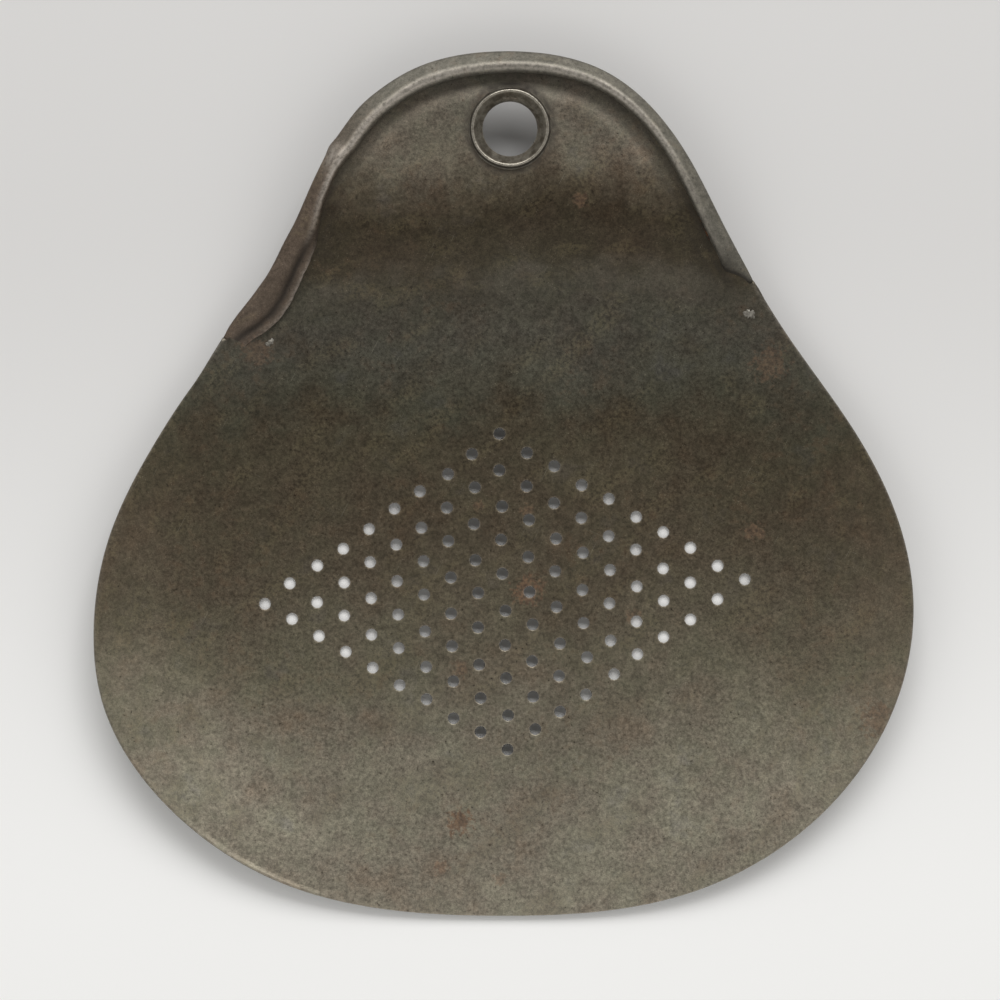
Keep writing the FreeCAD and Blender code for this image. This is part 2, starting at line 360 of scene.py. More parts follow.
def edge_at(reach, inset):
    """Points at a distance inside the edge, and the outward directions there."""
    point, outward = outline_at(reach)
    depth = inset - hand_push(reach)
    return point - outward * np.asarray(depth)[..., None], outward


def strainer_centres():
    middle = (STRAINER_ROWS - 1) / 2
    centres = []
    for i in range(STRAINER_ROWS):
        for j in range(STRAINER_ROWS):
            across = (i - j) * STEP_ACROSS + STRAINER_SCATTER * math.sin(12.7 * i + 5.3 * j * j)
            along = (2 * middle - i - j) * STEP_ALONG
            along += STRAINER_SCATTER * math.cos(7.9 * j + 3.1 * i * i)
            x = across * math.cos(ACROSS_TURN) - along * math.sin(ALONG_TURN)
            y = across * math.sin(ACROSS_TURN) + along * math.cos(ALONG_TURN)
            centres.append((x, FRONT + STRAINER_FROM_FRONT + y))
    return np.array(centres)


STRAINER = strainer_centres()


def tree_of(points):
    tree = KDTree(len(points))
    for i, point in enumerate(points):
        tree.insert((point[0], point[1], 0), i)
    tree.balance()
    return tree


OUTLINE_TREE = tree_of(OUTLINE)
STRAINER_TREE = tree_of(STRAINER)


def near_outline(points):
    """Distance of each point to the outline and the reach of the outline's nearest point."""
    found = [OUTLINE_TREE.find((p[0], p[1], 0)) for p in points]
    away = np.array([f[2] for f in found])
    reach = OUTLINE_REACH[[f[1] for f in found]]
    return away, np.where(reach > OUTLINE_LENGTH / 2, reach - OUTLINE_LENGTH, reach)


def near_strainer(points):
    return np.array([STRAINER_TREE.find((p[0], p[1], 0))[2] for p in points])


def rolled_share(reach, ease=6.0):
    """1 where the rolled edge runs, easing to 0 at its ends."""
    right = blend_step((ROLL_RIGHT + ease / 2 - reach) / ease)
    left = blend_step((ROLL_LEFT + ease / 2 + reach) / ease)
    return right * left


def sheet_height(points):
    """Middle of the sheet's thickness over points inside the outline."""
    x = points[:, 0]
    y = points[:, 1]
    away, reach = near_outline(points)
    rolled = rolled_share(reach)
    height = underside(x, y) + SHEET / 2
    height += hand_work(x, y) * blend_step((away - 1.0) / 6.0)
    height += rolled * ridge(away, *GROOVE) * blend_step((away - EDGE_INSET) / 2.0)
    height += rolled * (ridge(away, *INNER_RIDGE) + ridge(away, *OUTER_RIDGE))
    past_hole = np.maximum(near_strainer(points) - STRAINER_RADIUS, 0)
    height -= HOLE_SINK * np.exp(-past_hole / HOLE_SINK_OVER)
    ring = np.hypot(x - HOLE_X, y - HOLE_Y)
    height += ridge(ring, LIP_RADIUS + 0.4, RING_SWELL_OVER, RING_SWELL)
    front = blend_step((np.abs(reach) - DROOP_FROM) / DROOP_OVER)
    height += front * (ridge(away, *DROOP) + ridge(away, *DROOP_RISE))
    lip = bell(reach, FRONT_LIP_AT, FRONT_LIP_LENGTH) * (away < FRONT_LIP_WIDTH)
    height += FRONT_LIP_HEIGHT * lip * (1 - away / FRONT_LIP_WIDTH)
    return np.maximum(height, SHEET / 2)


def along_edge(table, reach):
    """Value of a table of (reach, value) at a place."""
    return np.interp(reach, [row[0] for row in table], [row[1] for row in table])


def flatness_at(reach):
    right = RIGHT_FLATNESS * blend_step((reach - ROUND_RIGHT) / (ROLL_RIGHT - ROUND_RIGHT))
    right = right + (1 - right) * blend_step((reach - RIGHT_CRUSH) / RIGHT_CRUSH_OVER)
    left = blend_step((-reach - ROUND_LEFT) / (FLAP_OPENS + FLAP_OPEN_OVER - ROUND_LEFT))
    return right if reach > 0 else left


def curl_profile(reach):
    """Middle line of the curl at one place: inward and upward offsets, and distances along it."""
    flatness = float(flatness_at(reach))
    crushed = blend_step((reach - RIGHT_CRUSH) / RIGHT_CRUSH_OVER)
    opened = blend_step((-reach - FLAP_OPENS) / FLAP_OPEN_OVER)
    settled = blend_step((-reach - FLAP_SETTLES) / FLAP_SETTLE_OVER)
    uneven = 0.06 * math.sin(reach * 1.7) + 0.04 * math.sin(reach * 4.3 + 1.0)
    length = FLAP_LENGTH + uneven * (1 - settled)
    length += ridge(reach, FLAP_LONGER_AT, FLAP_LONGER_OVER, FLAP_LONGER)
    length -= SETTLED_SHORTER * settled + CRUSHED_SHORTER * crushed
    steps = 6 * CURL_STOPS
    mids = (np.arange(steps) + 0.5) / steps * length
    past_slant = np.maximum(0, mids - BEND_LENGTH - SLANT_LENGTH)
    rolled = SLANT + np.minimum(past_slant / CREST_RADIUS, CREST_TURN)
    rolled = np.where(mids < BEND_LENGTH, mids / EDGE_BEND_RADIUS, rolled)
    flat = np.minimum(mids / FLAT_FOLD_RADIUS, FLAT_FOLD)
    heading = rolled + (flat - rolled) * flatness
    outward = np.concatenate([[0], np.cumsum(np.cos(heading) * length / steps)])
    up = np.concatenate([[0], np.cumsum(np.sin(heading) * length / steps)])
    outward = (outward - outward.max()) * along_edge(ROLL_WIDTH_AT, reach) - ROLL_SHEET / 2
    along = np.linspace(0, length, steps + 1)
    from_raw = length - along
    up = up - opened * 0.45 * bell(from_raw, 1.7, 0.9)
    up = up + opened * (0.24 * np.exp(-from_raw / 0.45) + 0.22 * bell(outward, -2.6, 1.1))
    resting = np.where(along > 3.0, (SHEET + ROLL_SHEET) / 2 + 0.02, 0) * opened
    up = np.maximum(up, resting)
    up = up * (1 - 0.98 * settled) * (1 - 0.8 * crushed)
    picks = np.arange(0, steps + 1, steps // CURL_STOPS)
    return outward[picks], up[picks] * CREST_WORN + SHEET / 2, along[picks], length


def curl_row(reach):
    """Points of the middle line of the curl at one place, in space, and distances along it."""
    foot, outward = edge_at(np.array(reach), EDGE_INSET)
    ahead = foot + outward
    behind = foot - outward
    slope = (underside(ahead[0], ahead[1]) - underside(behind[0], behind[1])) / 2
    lean = np.array([outward[0], outward[1], slope])
    lean = lean / np.linalg.norm(lean)
    along = np.array([outward[1], -outward[0], 0])
    rise = np.cross(along, lean)
    if rise[2] < 0:
        rise = -rise
    middle = float(underside(foot[0], foot[1])) + SHEET / 2
    base = np.array([foot[0], foot[1], middle]) + lean * EDGE_INSET - rise * (SHEET / 2)
    a, b, run, length = curl_profile(reach)
    arch = np.sin(np.linspace(0, math.pi, len(a)))
    b = b + (0.05 * math.sin(reach / 3.1) + 0.03 * math.sin(reach / 1.3 + 1.0)) * arch
    b = b + ridge(reach, BUMP_AT, BUMP_LENGTH, BUMP_HEIGHT) * arch
    return base + np.outer(a, lean) + np.outer(b, rise), run, length


def circle(x, y, radius, sides):
    turn = np.arange(sides) / sides * 2 * math.pi
    return np.stack([x + radius * np.cos(turn), y + radius * np.sin(turn)], axis=-1)


def sheet_plan():
    """Plan of the flat part: its points, its edges that must stay, and the points the roll hangs on."""
    seam_reach = np.linspace(-ROLL_LEFT, ROLL_RIGHT, ROLL_ROWS)
    free_count = int((OUTLINE_LENGTH - ROLL_LEFT - ROLL_RIGHT) / EDGE_STEP)
    free_reach = np.linspace(ROLL_RIGHT, OUTLINE_LENGTH - ROLL_LEFT, free_count)
    near_reach = np.where(free_reach > OUTLINE_LENGTH / 2, free_reach - OUTLINE_LENGTH, free_reach)
    seam = edge_at(seam_reach, EDGE_INSET)[0]
    chains = [np.vstack([seam, edge_at(near_reach, EDGE_TRIM)[0]])]
    for centre in STRAINER:
        chains.append(circle(centre[0], centre[1], STRAINER_RADIUS, HOLE_SIDES))
    chains.append(circle(HOLE_X, HOLE_Y, BORE_RADIUS + EYELET_METAL + EYELET_CLEARANCE, RING_SIDES))
    loose = [edge_at(near_reach[1:-1], inset)[0] for inset in (0.24, 0.5, 1.0, FRONT_LIP_WIDTH + 0.1)]
    loose.append(edge_at(seam_reach, EDGE_INSET + 0.45)[0])
    for centre in STRAINER:
        for extra in (0.08, 0.25, 0.6):
            loose.append(circle(centre[0], centre[1], STRAINER_RADIUS + extra, HOLE_SIDES))
    loose.append(inner_grid())
    edges = []
    start = 0
    for chain in chains:
        count = len(chain)
        edges += [(start + i, start + (i + 1) % count) for i in range(count)]
        start += count
    return np.vstack(chains + loose), edges, range(len(seam))


def inner_grid():
    """Staggered points over the inside of the outline, clear of the edges and the holes."""
    rows = np.arange(FRONT, TOP, GRID_STEP * 0.866)
    columns = np.arange(-SIDE, SIDE, GRID_STEP)
    grid = np.array([(x + (k % 2) * GRID_STEP / 2, y) for k, y in enumerate(rows) for x in columns])
    away, reach = near_outline(grid)
    inside = point_inside(grid, OUTLINE[::4])
    room = np.where(rolled_share(reach, 1.0) > 0.5, EDGE_INSET + 0.9, 1.7)
    clear = near_strainer(grid) > STRAINER_RADIUS + 0.95
    clear &= np.hypot(grid[:, 0] - HOLE_X, grid[:, 1] - HOLE_Y) > BORE_RADIUS + EYELET_METAL + 0.5
    return grid[inside & (away > room) & clear]


def point_inside(points, polygon):
    """Whether each point lies inside the polygon, by counting crossings."""
    inside = np.zeros(len(points), dtype=bool)
    following = np.roll(polygon, -1, axis=0)
    for a, b in zip(polygon, following):
        if a[1] == b[1]:
            continue
        spans = (a[1] > points[:, 1]) != (b[1] > points[:, 1])
        cross = a[0] + (points[:, 1] - a[1]) / (b[1] - a[1]) * (b[0] - a[0])
        inside ^= spans & (points[:, 0] < cross)
    return inside


def make_middle_surface():
    """The sheet's middle surface with the curl joined on: points, faces and where each point is."""
    plan, edges, seam = sheet_plan()
    flat, _, faces, origins, _, _ = delaunay_2d_cdt([Vector(p) for p in plan], edges, [], 1, 1e-5)
    points = np.array([(p[0], p[1]) for p in flat])
    triangles = np.array([f for f in faces if len(f) == 3])
    centre = points[triangles].mean(axis=1)
    keep = near_strainer(centre) > STRAINER_RADIUS * 0.97
    keep &= np.hypot(centre[:, 0] - HOLE_X, centre[:, 1] - HOLE_Y) > BORE_RADIUS + EYELET_METAL
    triangles = triangles[keep]
    a, b, c = (points[triangles[:, k]] for k in range(3))
    area = (b[:, 0] - a[:, 0]) * (c[:, 1] - a[:, 1]) - (b[:, 1] - a[:, 1]) * (c[:, 0] - a[:, 0])
    triangles = np.where(area[:, None] > 0, triangles, triangles[:, ::-1])
    height = sheet_height(points)
    verts = [np.column_stack([points, height])]
    where = {source: i for i, sources in enumerate(origins) for source in sources}
    stations = np.linspace(-ROLL_LEFT, ROLL_RIGHT, ROLL_ROWS)
    rows = []
    start = len(points)
    curl = [np.zeros((start, 3))]
    for i, reach in enumerate(stations):
        row, run, length = curl_row(reach)
        rows.append([where[seam[i]]] + list(range(start, start + len(row) - 1)))
        verts.append(row[1:])
        count = len(row) - 1
        curl.append(np.column_stack([run[1:], np.full(count, length), np.full(count, reach)]))
        start += count
    faces = [tuple(t) for t in triangles]
    for lower, upper in zip(rows, rows[1:]):
        for k in range(len(lower) - 1):
            faces.append((lower[k], upper[k], upper[k + 1], lower[k + 1]))
    return np.vstack(verts), faces, np.vstack(curl)


def vertex_normals(verts, faces):
    normals = np.zeros_like(verts)
    for size in (3, 4):
        chosen = np.array([f for f in faces if len(f) == size])
        if len(chosen) == 0:
            continue
        across = verts[chosen[:, size - 2]] - verts[chosen[:, 0]]
        along = verts[chosen[:, size - 1]] - verts[chosen[:, 1]]
        face_normal = np.cross(across, along) if size == 4 else np.cross(
            verts[chosen[:, 1]] - verts[chosen[:, 0]], verts[chosen[:, 2]] - verts[chosen[:, 0]])
        for k in range(size):
            np.add.at(normals, chosen[:, k], face_normal)
    length = np.linalg.norm(normals, axis=1, keepdims=True)
    return normals / np.maximum(length, 1e-12)


def border_edges(faces):
    """Edges that only one face uses, in that face's direction."""
    seen = {}
    for face in faces:
        for a, b in zip(face, face[1:] + face[:1]):
            seen[(a, b)] = True
    return [(a, b) for (a, b) in seen if (b, a) not in seen]


def thicken(verts, faces, half, rounded):
    """Gives a surface its thickness: front points, back points and the walls at its borders."""
    normals = vertex_normals(verts, faces)
    rim = border_edges(faces)
    reach = np.full(len(verts), 1.0)
    for a, b in rim:
        reach[a] = rounded
        reach[b] = rounded
    offset = normals * (half * reach)[:, None]
    count = len(verts)
    shape = np.vstack([verts + offset, verts - offset])
    walls = [(b, a, a + count, b + count) for a, b in rim]
    backs = [tuple(v + count for v in reversed(face)) for face in faces]
    return shape, list(faces) + backs + walls


def add_mesh(name, verts, faces, material, notes=None):
    """A smooth mesh object from points in millimetres, with point values for its material."""
    mesh = bpy.data.meshes.new(name)
    mesh.from_pydata((verts * MM).tolist(), [], [tuple(int(v) for v in f) for f in faces])
    mesh.polygons.foreach_set("use_smooth", [True] * len(mesh.polygons))
    for key, values in (notes or {}).items():
        layer = mesh.attributes.new(key, "FLOAT", "POINT")
        layer.data.foreach_set("value", np.asarray(values, dtype=np.float32))
    mesh.materials.append(material)
    mesh.update()
    piece = bpy.data.objects.new(name, mesh)
    bpy.context.collection.objects.link(piece)
    return piece


def make_pan(material):
    verts, faces, curl = make_middle_surface()
    half = np.where(curl[:, 0] > 0, ROLL_SHEET / 2, SHEET / 2)
    shape, all_faces = thicken(verts, faces, half, RIM_ROUNDING)
    return add_mesh("skimmer_sheet", shape, all_faces, material, pan_notes(verts, curl))


def pan_notes(verts, curl):
    """Where the sheet is worn bright with painted highlights, and where it is darkened by dirt with
    painted shade, for its upper and its lower points.
    """
    away, reach = near_outline(verts)
    run, length, curl_reach = curl.T
    on_curl = run > 0
    reach = np.where(on_curl, curl_reach, reach)
    rolled = rolled_share(reach)
    hole = near_strainer(verts) - STRAINER_RADIUS
    ring = np.hypot(verts[:, 0] - HOLE_X, verts[:, 1] - HOLE_Y)
    opened = blend_step((-reach - FLAP_OPENS) / FLAP_OPEN_OVER)
    free = 1 - rolled
    # Dirt with painted shade: darker beside the roll and at the foot of the ring's lip; the inside of the
    # curl, under the roll, is painted fully dark as shade.
    front_dirt_and_shade = ridge(away, 3.9, 0.7, 0.55) + ridge(away, 6.1, 0.9, 0.30)
    front_dirt_and_shade = rolled * front_dirt_and_shade * (1 - 0.6 * opened)
    front_dirt_and_shade += 0.8 * bell(ring, LIP_RADIUS + 0.35, 0.5)
    front_dirt_and_shade = np.where(on_curl, 1.0, front_dirt_and_shade)
    # Wear with painted highlight: the rims of the strainer holes and the bare edge are painted bright.
    front_wear_and_sheen = 0.5 * np.exp(-np.maximum(hole, 0) / 0.07) + 0.35 * np.exp(-away / 0.2) * free
    front_wear_and_sheen = np.where(on_curl, 0.0, front_wear_and_sheen)
    # Wear with painted highlight: the roll's crest, the opened flap's raw edge and the bump are painted
    # bright.
    crest = BEND_LENGTH + SLANT_LENGTH + CREST_PAST_SLANT
    back_wear_and_sheen = bell(run, crest, 0.5) * along_edge(CREST_WEAR_AND_SHEEN_AT, reach)
    back_wear_and_sheen += 0.45 * opened * bell(length - run, 0.0, 0.5) * bell(reach, -67.0, 9.5)
    back_wear_and_sheen += 0.7 * bell(reach, BUMP_AT, 2.4) * bell(run, 3.4, 1.4)
    back_wear_and_sheen = np.where(on_curl, back_wear_and_sheen, 0.35 * np.exp(-away / 0.2) * free)
    # Painted shade: dark in the tuck under the raw edge, in the groove of the opened flap and over the
    # right end of the roll.
    back_dirt_and_shade = bell(length - run, 0.0, 0.9) * (1 - opened) + opened * bell(length - run, 2.1, 0.9)
    back_dirt_and_shade += 0.45 * blend_step((reach - 52.0) / 14.0) * blend_step((run - 1.5) / 3.0)
    back_dirt_and_shade = np.where(on_curl, back_dirt_and_shade, 0.0)
    front = np.ones(len(verts))
    back = np.where(on_curl, 1.0, 0.0)
    return {
        "wear_and_sheen": np.concatenate([front_wear_and_sheen, back_wear_and_sheen]),
        "dirt_and_shade": np.concatenate([front_dirt_and_shade, back_dirt_and_shade]),
        "roll": np.concatenate([0 * front, back]),
        "shown": np.concatenate([front, back]),
    }


def lathe(profile, x, y, sides, uneven):
    """Turns a closed profile of (radius, height) points about an upright axis."""
    verts = []
    for i in range(sides):
        turn = 2 * math.pi * i / sides
        stretch = 1 + uneven * math.sin(2 * turn + 0.7) + 0.5 * uneven * math.sin(5 * turn + 1.9)
        lift = 0.05 * math.sin(turn * 3 + 0.4) + 0.03 * math.sin(turn * 7)
        for radius, height, free in profile:
            r = radius * (1 + (stretch - 1) * free)
            verts.append((x + r * math.cos(turn), y + r * math.sin(turn), height + lift * free))
    count = len(profile)
    faces = []
    for i in range(sides):
        j = (i + 1) % sides
        for k in range(count):
            m = (k + 1) % count
            faces.append((i * count + k, j * count + k, j * count + m, i * count + m))
    return np.array(verts), faces


def eyelet_profile():
    """Closed profile of the pressed ring as (radius, height, how freely it may be uneven)."""
    top = HOLE_LEVEL + SHEET + EYELET_CLEARANCE
    below = HOLE_LEVEL - EYELET_CLEARANCE
    crest = CREST_RING_RADIUS
    neck = BORE_RADIUS + EYELET_METAL
    high = top + EYELET_HEIGHT
    return [
        (BORE_RADIUS + 0.05, below - EYELET_METAL + 0.1, 0.0),
        (BORE_RADIUS, below - EYELET_METAL + 0.25, 0.0),
        (BORE_RADIUS, top - 0.6, 0.0),
        (BORE_RADIUS + 0.03, top - 0.42, 0.0),
        (BORE_RADIUS + 0.16, top - 0.28, 0.2),
        (BORE_RADIUS + 0.6, top + 0.16, 0.6),
        (BORE_RADIUS + 1.1, top + 0.66, 0.8),
        (crest - 0.46, high - 0.26, 1.0),
        (crest - 0.22, high - 0.05, 1.0),
        (crest - 0.02, high - 0.02, 1.0),
        (crest + 0.16, high - 0.12, 1.0),
        (crest + 0.27, high - 0.36, 0.9),
        (crest + 0.30, top + 0.62, 0.8),
        (crest + 0.38, top + 0.40, 0.6),
        (LIP_RADIUS - 0.16, top + 0.30, 0.4),
        (LIP_RADIUS - 0.03, top + 0.22, 0.3),
        (LIP_RADIUS, top + 0.10, 0.2),
        (LIP_RADIUS - 0.06, top, 0.0),
        (LIP_RADIUS - 0.45, top, 0.0),
        (crest - 0.15, high - 0.62, 0.5),
        (neck + 0.3, top + 0.12, 0.2),
        (neck, top - 0.1, 0.0),
        (neck, below, 0.0),
        (EYELET_BACK_RADIUS - 0.1, below, 0.0),
        (EYELET_BACK_RADIUS, below - 0.1, 0.0),
        (EYELET_BACK_RADIUS, below - EYELET_METAL + 0.15, 0.0),
        (EYELET_BACK_RADIUS - 0.12, below - EYELET_METAL, 0.0),
        (BORE_RADIUS + 0.3, below - EYELET_METAL, 0.0),
        (BORE_RADIUS + 0.14, below - EYELET_METAL + 0.03, 0.0),
    ]


def make_eyelet(material):
    verts, faces = lathe(eyelet_profile(), HOLE_X, HOLE_Y, RING_SIDES, RING_UNEVEN)
    radius = np.hypot(verts[:, 0] - HOLE_X, verts[:, 1] - HOLE_Y)
    high = HOLE_LEVEL + SHEET + EYELET_HEIGHT
    # Wear with painted highlight on the crest and the bore edge; dirt with painted shade at the foot of
    # the lip.
    crest = bell(radius, CREST_RING_RADIUS, 0.3) * blend_step((verts[:, 2] - high + 0.6) / 0.5)
    edge = bell(radius, BORE_RADIUS + 0.04, 0.08) * blend_step((verts[:, 2] - HOLE_LEVEL) / 0.2)
    notes = {
        "wear_and_sheen": crest + 0.9 * edge,
        "dirt_and_shade": bell(radius, LIP_RADIUS - 0.35, 0.2) * 0.9,
        "shown": np.ones(len(verts)),
    }
    return add_mesh("eyelet_ring", verts, [f[::-1] for f in faces], material, notes)


def make_tack(name, node, material, seed):
    """A drop of solder that has run into the sheet, over the place of its node."""
    low, high = (np.array(c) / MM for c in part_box(node))
    middle = (low + high) / 2
    half = (high - low) / 2
    rings = TACK_RINGS
    sides = TACK_SIDES
    verts = []
    for i in range(rings + 1):
        share = i / rings
        for k in range(sides):
            turn = 2 * math.pi * k / sides
            lobe = 0.90 - 0.22 * share * (1 - math.sin(2 * turn + seed))
            lobe -= share * (0.10 * math.sin(5 * turn + seed) + 0.07 * math.sin(9 * turn + 2 * seed))
            x = middle[0] + half[0] * share * lobe * math.cos(turn)
            y = middle[1] + half[1] * share * lobe * math.sin(turn)
            ground = float(underside(x, y)) + SHEET
            swell = TACK_SWELL * (1 - share * share) ** 1.5
            swell = swell * (1 + 0.25 * share * math.sin(3 * turn + seed)) + 0.01
            verts.append((x, y, min(ground + swell, high[2])))
    count = len(verts)
    verts = np.array(verts)
    under = verts.copy()
    under[:, 2] = underside(under[:, 0], under[:, 1]) + SHEET - TACK_ROOT
    faces = []
    for i in range(rings):
        for k in range(sides):
            m = (k + 1) % sides
            a, b, c, d = i * sides + k, i * sides + m, (i + 1) * sides + m, (i + 1) * sides + k
            faces.append((d, c, b, a))
            faces.append((a + count, b + count, c + count, d + count))
    last = rings * sides
    for k in range(sides):
        m = (k + 1) % sides
        faces.append((last + k, last + k + count, last + m + count, last + m))
    return add_mesh(name, np.vstack([verts, under]), faces, material)


def tone(red, green, blue):
    """A colour written as it is seen, 0 to 255, turned into linear light."""
    seen = [v / 255 for v in (red, green, blue)]
    return tuple(v / 12.92 if v < 0.04045 else ((v + 0.055) / 1.055) ** 2.4 for v in seen) + (1.0,)


class Finish:
    """Short calls that add nodes to one material."""

    def __init__(self, name):
        self.material = bpy.data.materials.new(name)
        self.material.use_nodes = True
        self.tree = self.material.node_tree
        self.tree.nodes.clear()
        self.out = self.tree.nodes.new("ShaderNodeOutputMaterial")
        self.shader = self.tree.nodes.new("ShaderNodeBsdfPrincipled")
        self.tree.links.new(self.shader.outputs[0], self.out.inputs[0])
        coordinates = self.tree.nodes.new("ShaderNodeTexCoord")
        scale = self.tree.nodes.new("ShaderNodeVectorMath")
        scale.operation = "SCALE"
        scale.inputs["Scale"].default_value = 1 / MM
        self.tree.links.new(coordinates.outputs["Object"], scale.inputs[0])
        self.place = scale.outputs[0]
        self.flat = None
        self.broken = None

    def put(self, socket, value):
        if isinstance(value, (int, float, tuple)):
            socket.default_value = value
        else:
            self.tree.links.new(value, socket)

    def math(self, operation, a, b=0.0, clamp=False):
        node = self.tree.nodes.new("ShaderNodeMath")
        node.operation = operation
        node.use_clamp = clamp
        self.put(node.inputs[0], a)
        self.put(node.inputs[1], b)
        return node.outputs[0]

    def noise(self, scale, detail=3.0, roughness=0.5, place=None, shift=0.0):
        moved = self.tree.nodes.new("ShaderNodeVectorMath")
        moved.operation = "ADD"
        moved.inputs[1].default_value = (37.0 * shift, 0.0, 53.0 * shift)
        self.tree.links.new(place or self.place, moved.inputs[0])
        node = self.tree.nodes.new("ShaderNodeTexNoise")
        node.inputs["Scale"].default_value = scale
        node.inputs["Detail"].default_value = detail
        node.inputs["Roughness"].default_value = roughness
        self.tree.links.new(moved.outputs[0], node.inputs["Vector"])
        return node.outputs["Fac"]

    def span(self, value, low, high, to_low=0.0, to_high=1.0):
        node = self.tree.nodes.new("ShaderNodeMapRange")
        node.inputs["From Min"].default_value = low
        node.inputs["From Max"].default_value = high
        node.inputs["To Min"].default_value = to_low
        node.inputs["To Max"].default_value = to_high
        node.interpolation_type = "SMOOTHSTEP"
        self.put(node.inputs["Value"], value)
        return node.outputs["Result"]

    def mix(self, share, a, b, blend="MIX"):
        node = self.tree.nodes.new("ShaderNodeMix")
        node.data_type = "RGBA"
        node.blend_type = blend
        self.put(node.inputs[0], share)
        self.put(node.inputs[6], a)
        self.put(node.inputs[7], b)
        return node.outputs[2]

    def ramp(self, value, stops):
        node = self.tree.nodes.new("ShaderNodeValToRGB")
        band = node.color_ramp
        band.interpolation = "LINEAR"
        while len(band.elements) < len(stops):
            band.elements.new(0.5)
        for element, (at, colour) in zip(band.elements, stops):
            element.position = at
            element.color = colour
        self.tree.links.new(value, node.inputs[0])
        return node.outputs["Color"]

    def note(self, name):
        node = self.tree.nodes.new("ShaderNodeAttribute")
        node.attribute_name = name
        return node.outputs["Fac"]

    def broken_note(self, name, share):
        """A point value that is broken up by a share, kept between 0 and 1."""
        return self.math("MULTIPLY", self.note(name), share, clamp=True)

    def axis(self, index):
        node = self.tree.nodes.new("ShaderNodeSeparateXYZ")
        self.tree.links.new(self.place, node.inputs[0])
        return node.outputs[index]

    def spot(self, x, y, radius, ragged=0.6):
        """Soft round patch at a place, its rim broken up by noise."""
        if self.flat is None:
            node = self.tree.nodes.new("ShaderNodeVectorMath")
            node.operation = "MULTIPLY"
            node.inputs[1].default_value = (1.0, 1.0, 0.0)
            self.tree.links.new(self.place, node.inputs[0])
            self.flat = node.outputs[0]
            self.broken = self.noise(0.9, 5.0, 0.7, shift=9.0)
        node = self.tree.nodes.new("ShaderNodeVectorMath")
        node.operation = "DISTANCE"
        self.tree.links.new(self.flat, node.inputs[0])
        node.inputs[1].default_value = (x, y, 0.0)
        uneven = self.span(self.broken, 0.3, 0.7, -radius * ragged, radius * ragged)
        away = self.math("ADD", node.outputs["Value"], uneven)
        return self.span(away, radius * 1.1, radius * 0.5)

    def streaks(self, angle, length, width, low, high, shift):
        """Fine long marks that run in one direction."""
        node = self.tree.nodes.new("ShaderNodeMapping")
        node.inputs["Rotation"].default_value = (0.0, 0.0, math.radians(angle))
        node.vector_type = "TEXTURE"
        node.inputs["Scale"].default_value = (length, width, 1.0)
        self.tree.links.new(self.place, node.inputs["Vector"])
        return self.span(self.noise(1.0, 1.0, 0.4, place=node.outputs[0], shift=shift), low, high)

    def bump(self, height, distance, strength=1.0, normal=None):
        node = self.tree.nodes.new("ShaderNodeBump")
        node.inputs["Strength"].default_value = strength
        node.inputs["Distance"].default_value = distance * MM
        self.tree.links.new(height, node.inputs["Height"])
        if normal is not None:
            self.tree.links.new(normal, node.inputs["Normal"])
        return node.outputs["Normal"]


# Colours down the sheet, from the front edge to the top: height in the plan and colour as seen. Besides
# the tin's own tones they hold painted shade and painted reflection: lighter towards the front, darker
# just past the bend.
SHEET_TONES_AND_SHADING = [
    (-82, (152, 146, 133)),
    (-60, (143, 137, 124)),
    (-47, (130, 124, 111)),
    (-33, (112, 106, 92)),
    (-18, (95, 87, 74)),
    (-4, (86, 78, 65)),
    (8, (81, 74, 61)),
    (16, (79, 76, 65)),
    (28, (85, 82, 74)),
    (37, (83, 79, 70)),
    (42, (73, 66, 55)),
    (50, (69, 61, 49)),
    (57, (90, 81, 69)),
    (64, (112, 105, 94)),
    (76, (108, 103, 94)),
]
ZONE_LOW = -85.0
ZONE_SPAN = 170.0

# Rust spots and stains: place in the plan, radius and strength
RUST = [
    (4.6, -19.9, 3.0, 0.75),
    (-8.4, -64.7, 2.6, 0.8),
    (-4.8, -3.4, 1.2, 0.5),
    (4.5, -4.4, 1.2, 0.5),
    (24.9, -24.8, 1.5, 0.45),
    (48.1, -8.7, 2.0, 0.5),
    (-8.2, -35.1, 1.8, 0.5),
    (-12.0, -73.2, 1.6, 0.6),
    (-0.7, -75.5, 1.4, 0.5),
    (71.5, -44.2, 3.6, 0.5),
    (51.0, 23.5, 3.4, 0.45),
    (14.5, 54.4, 1.6, 0.5),
    (-47.5, 25.8, 3.0, 0.35),
]


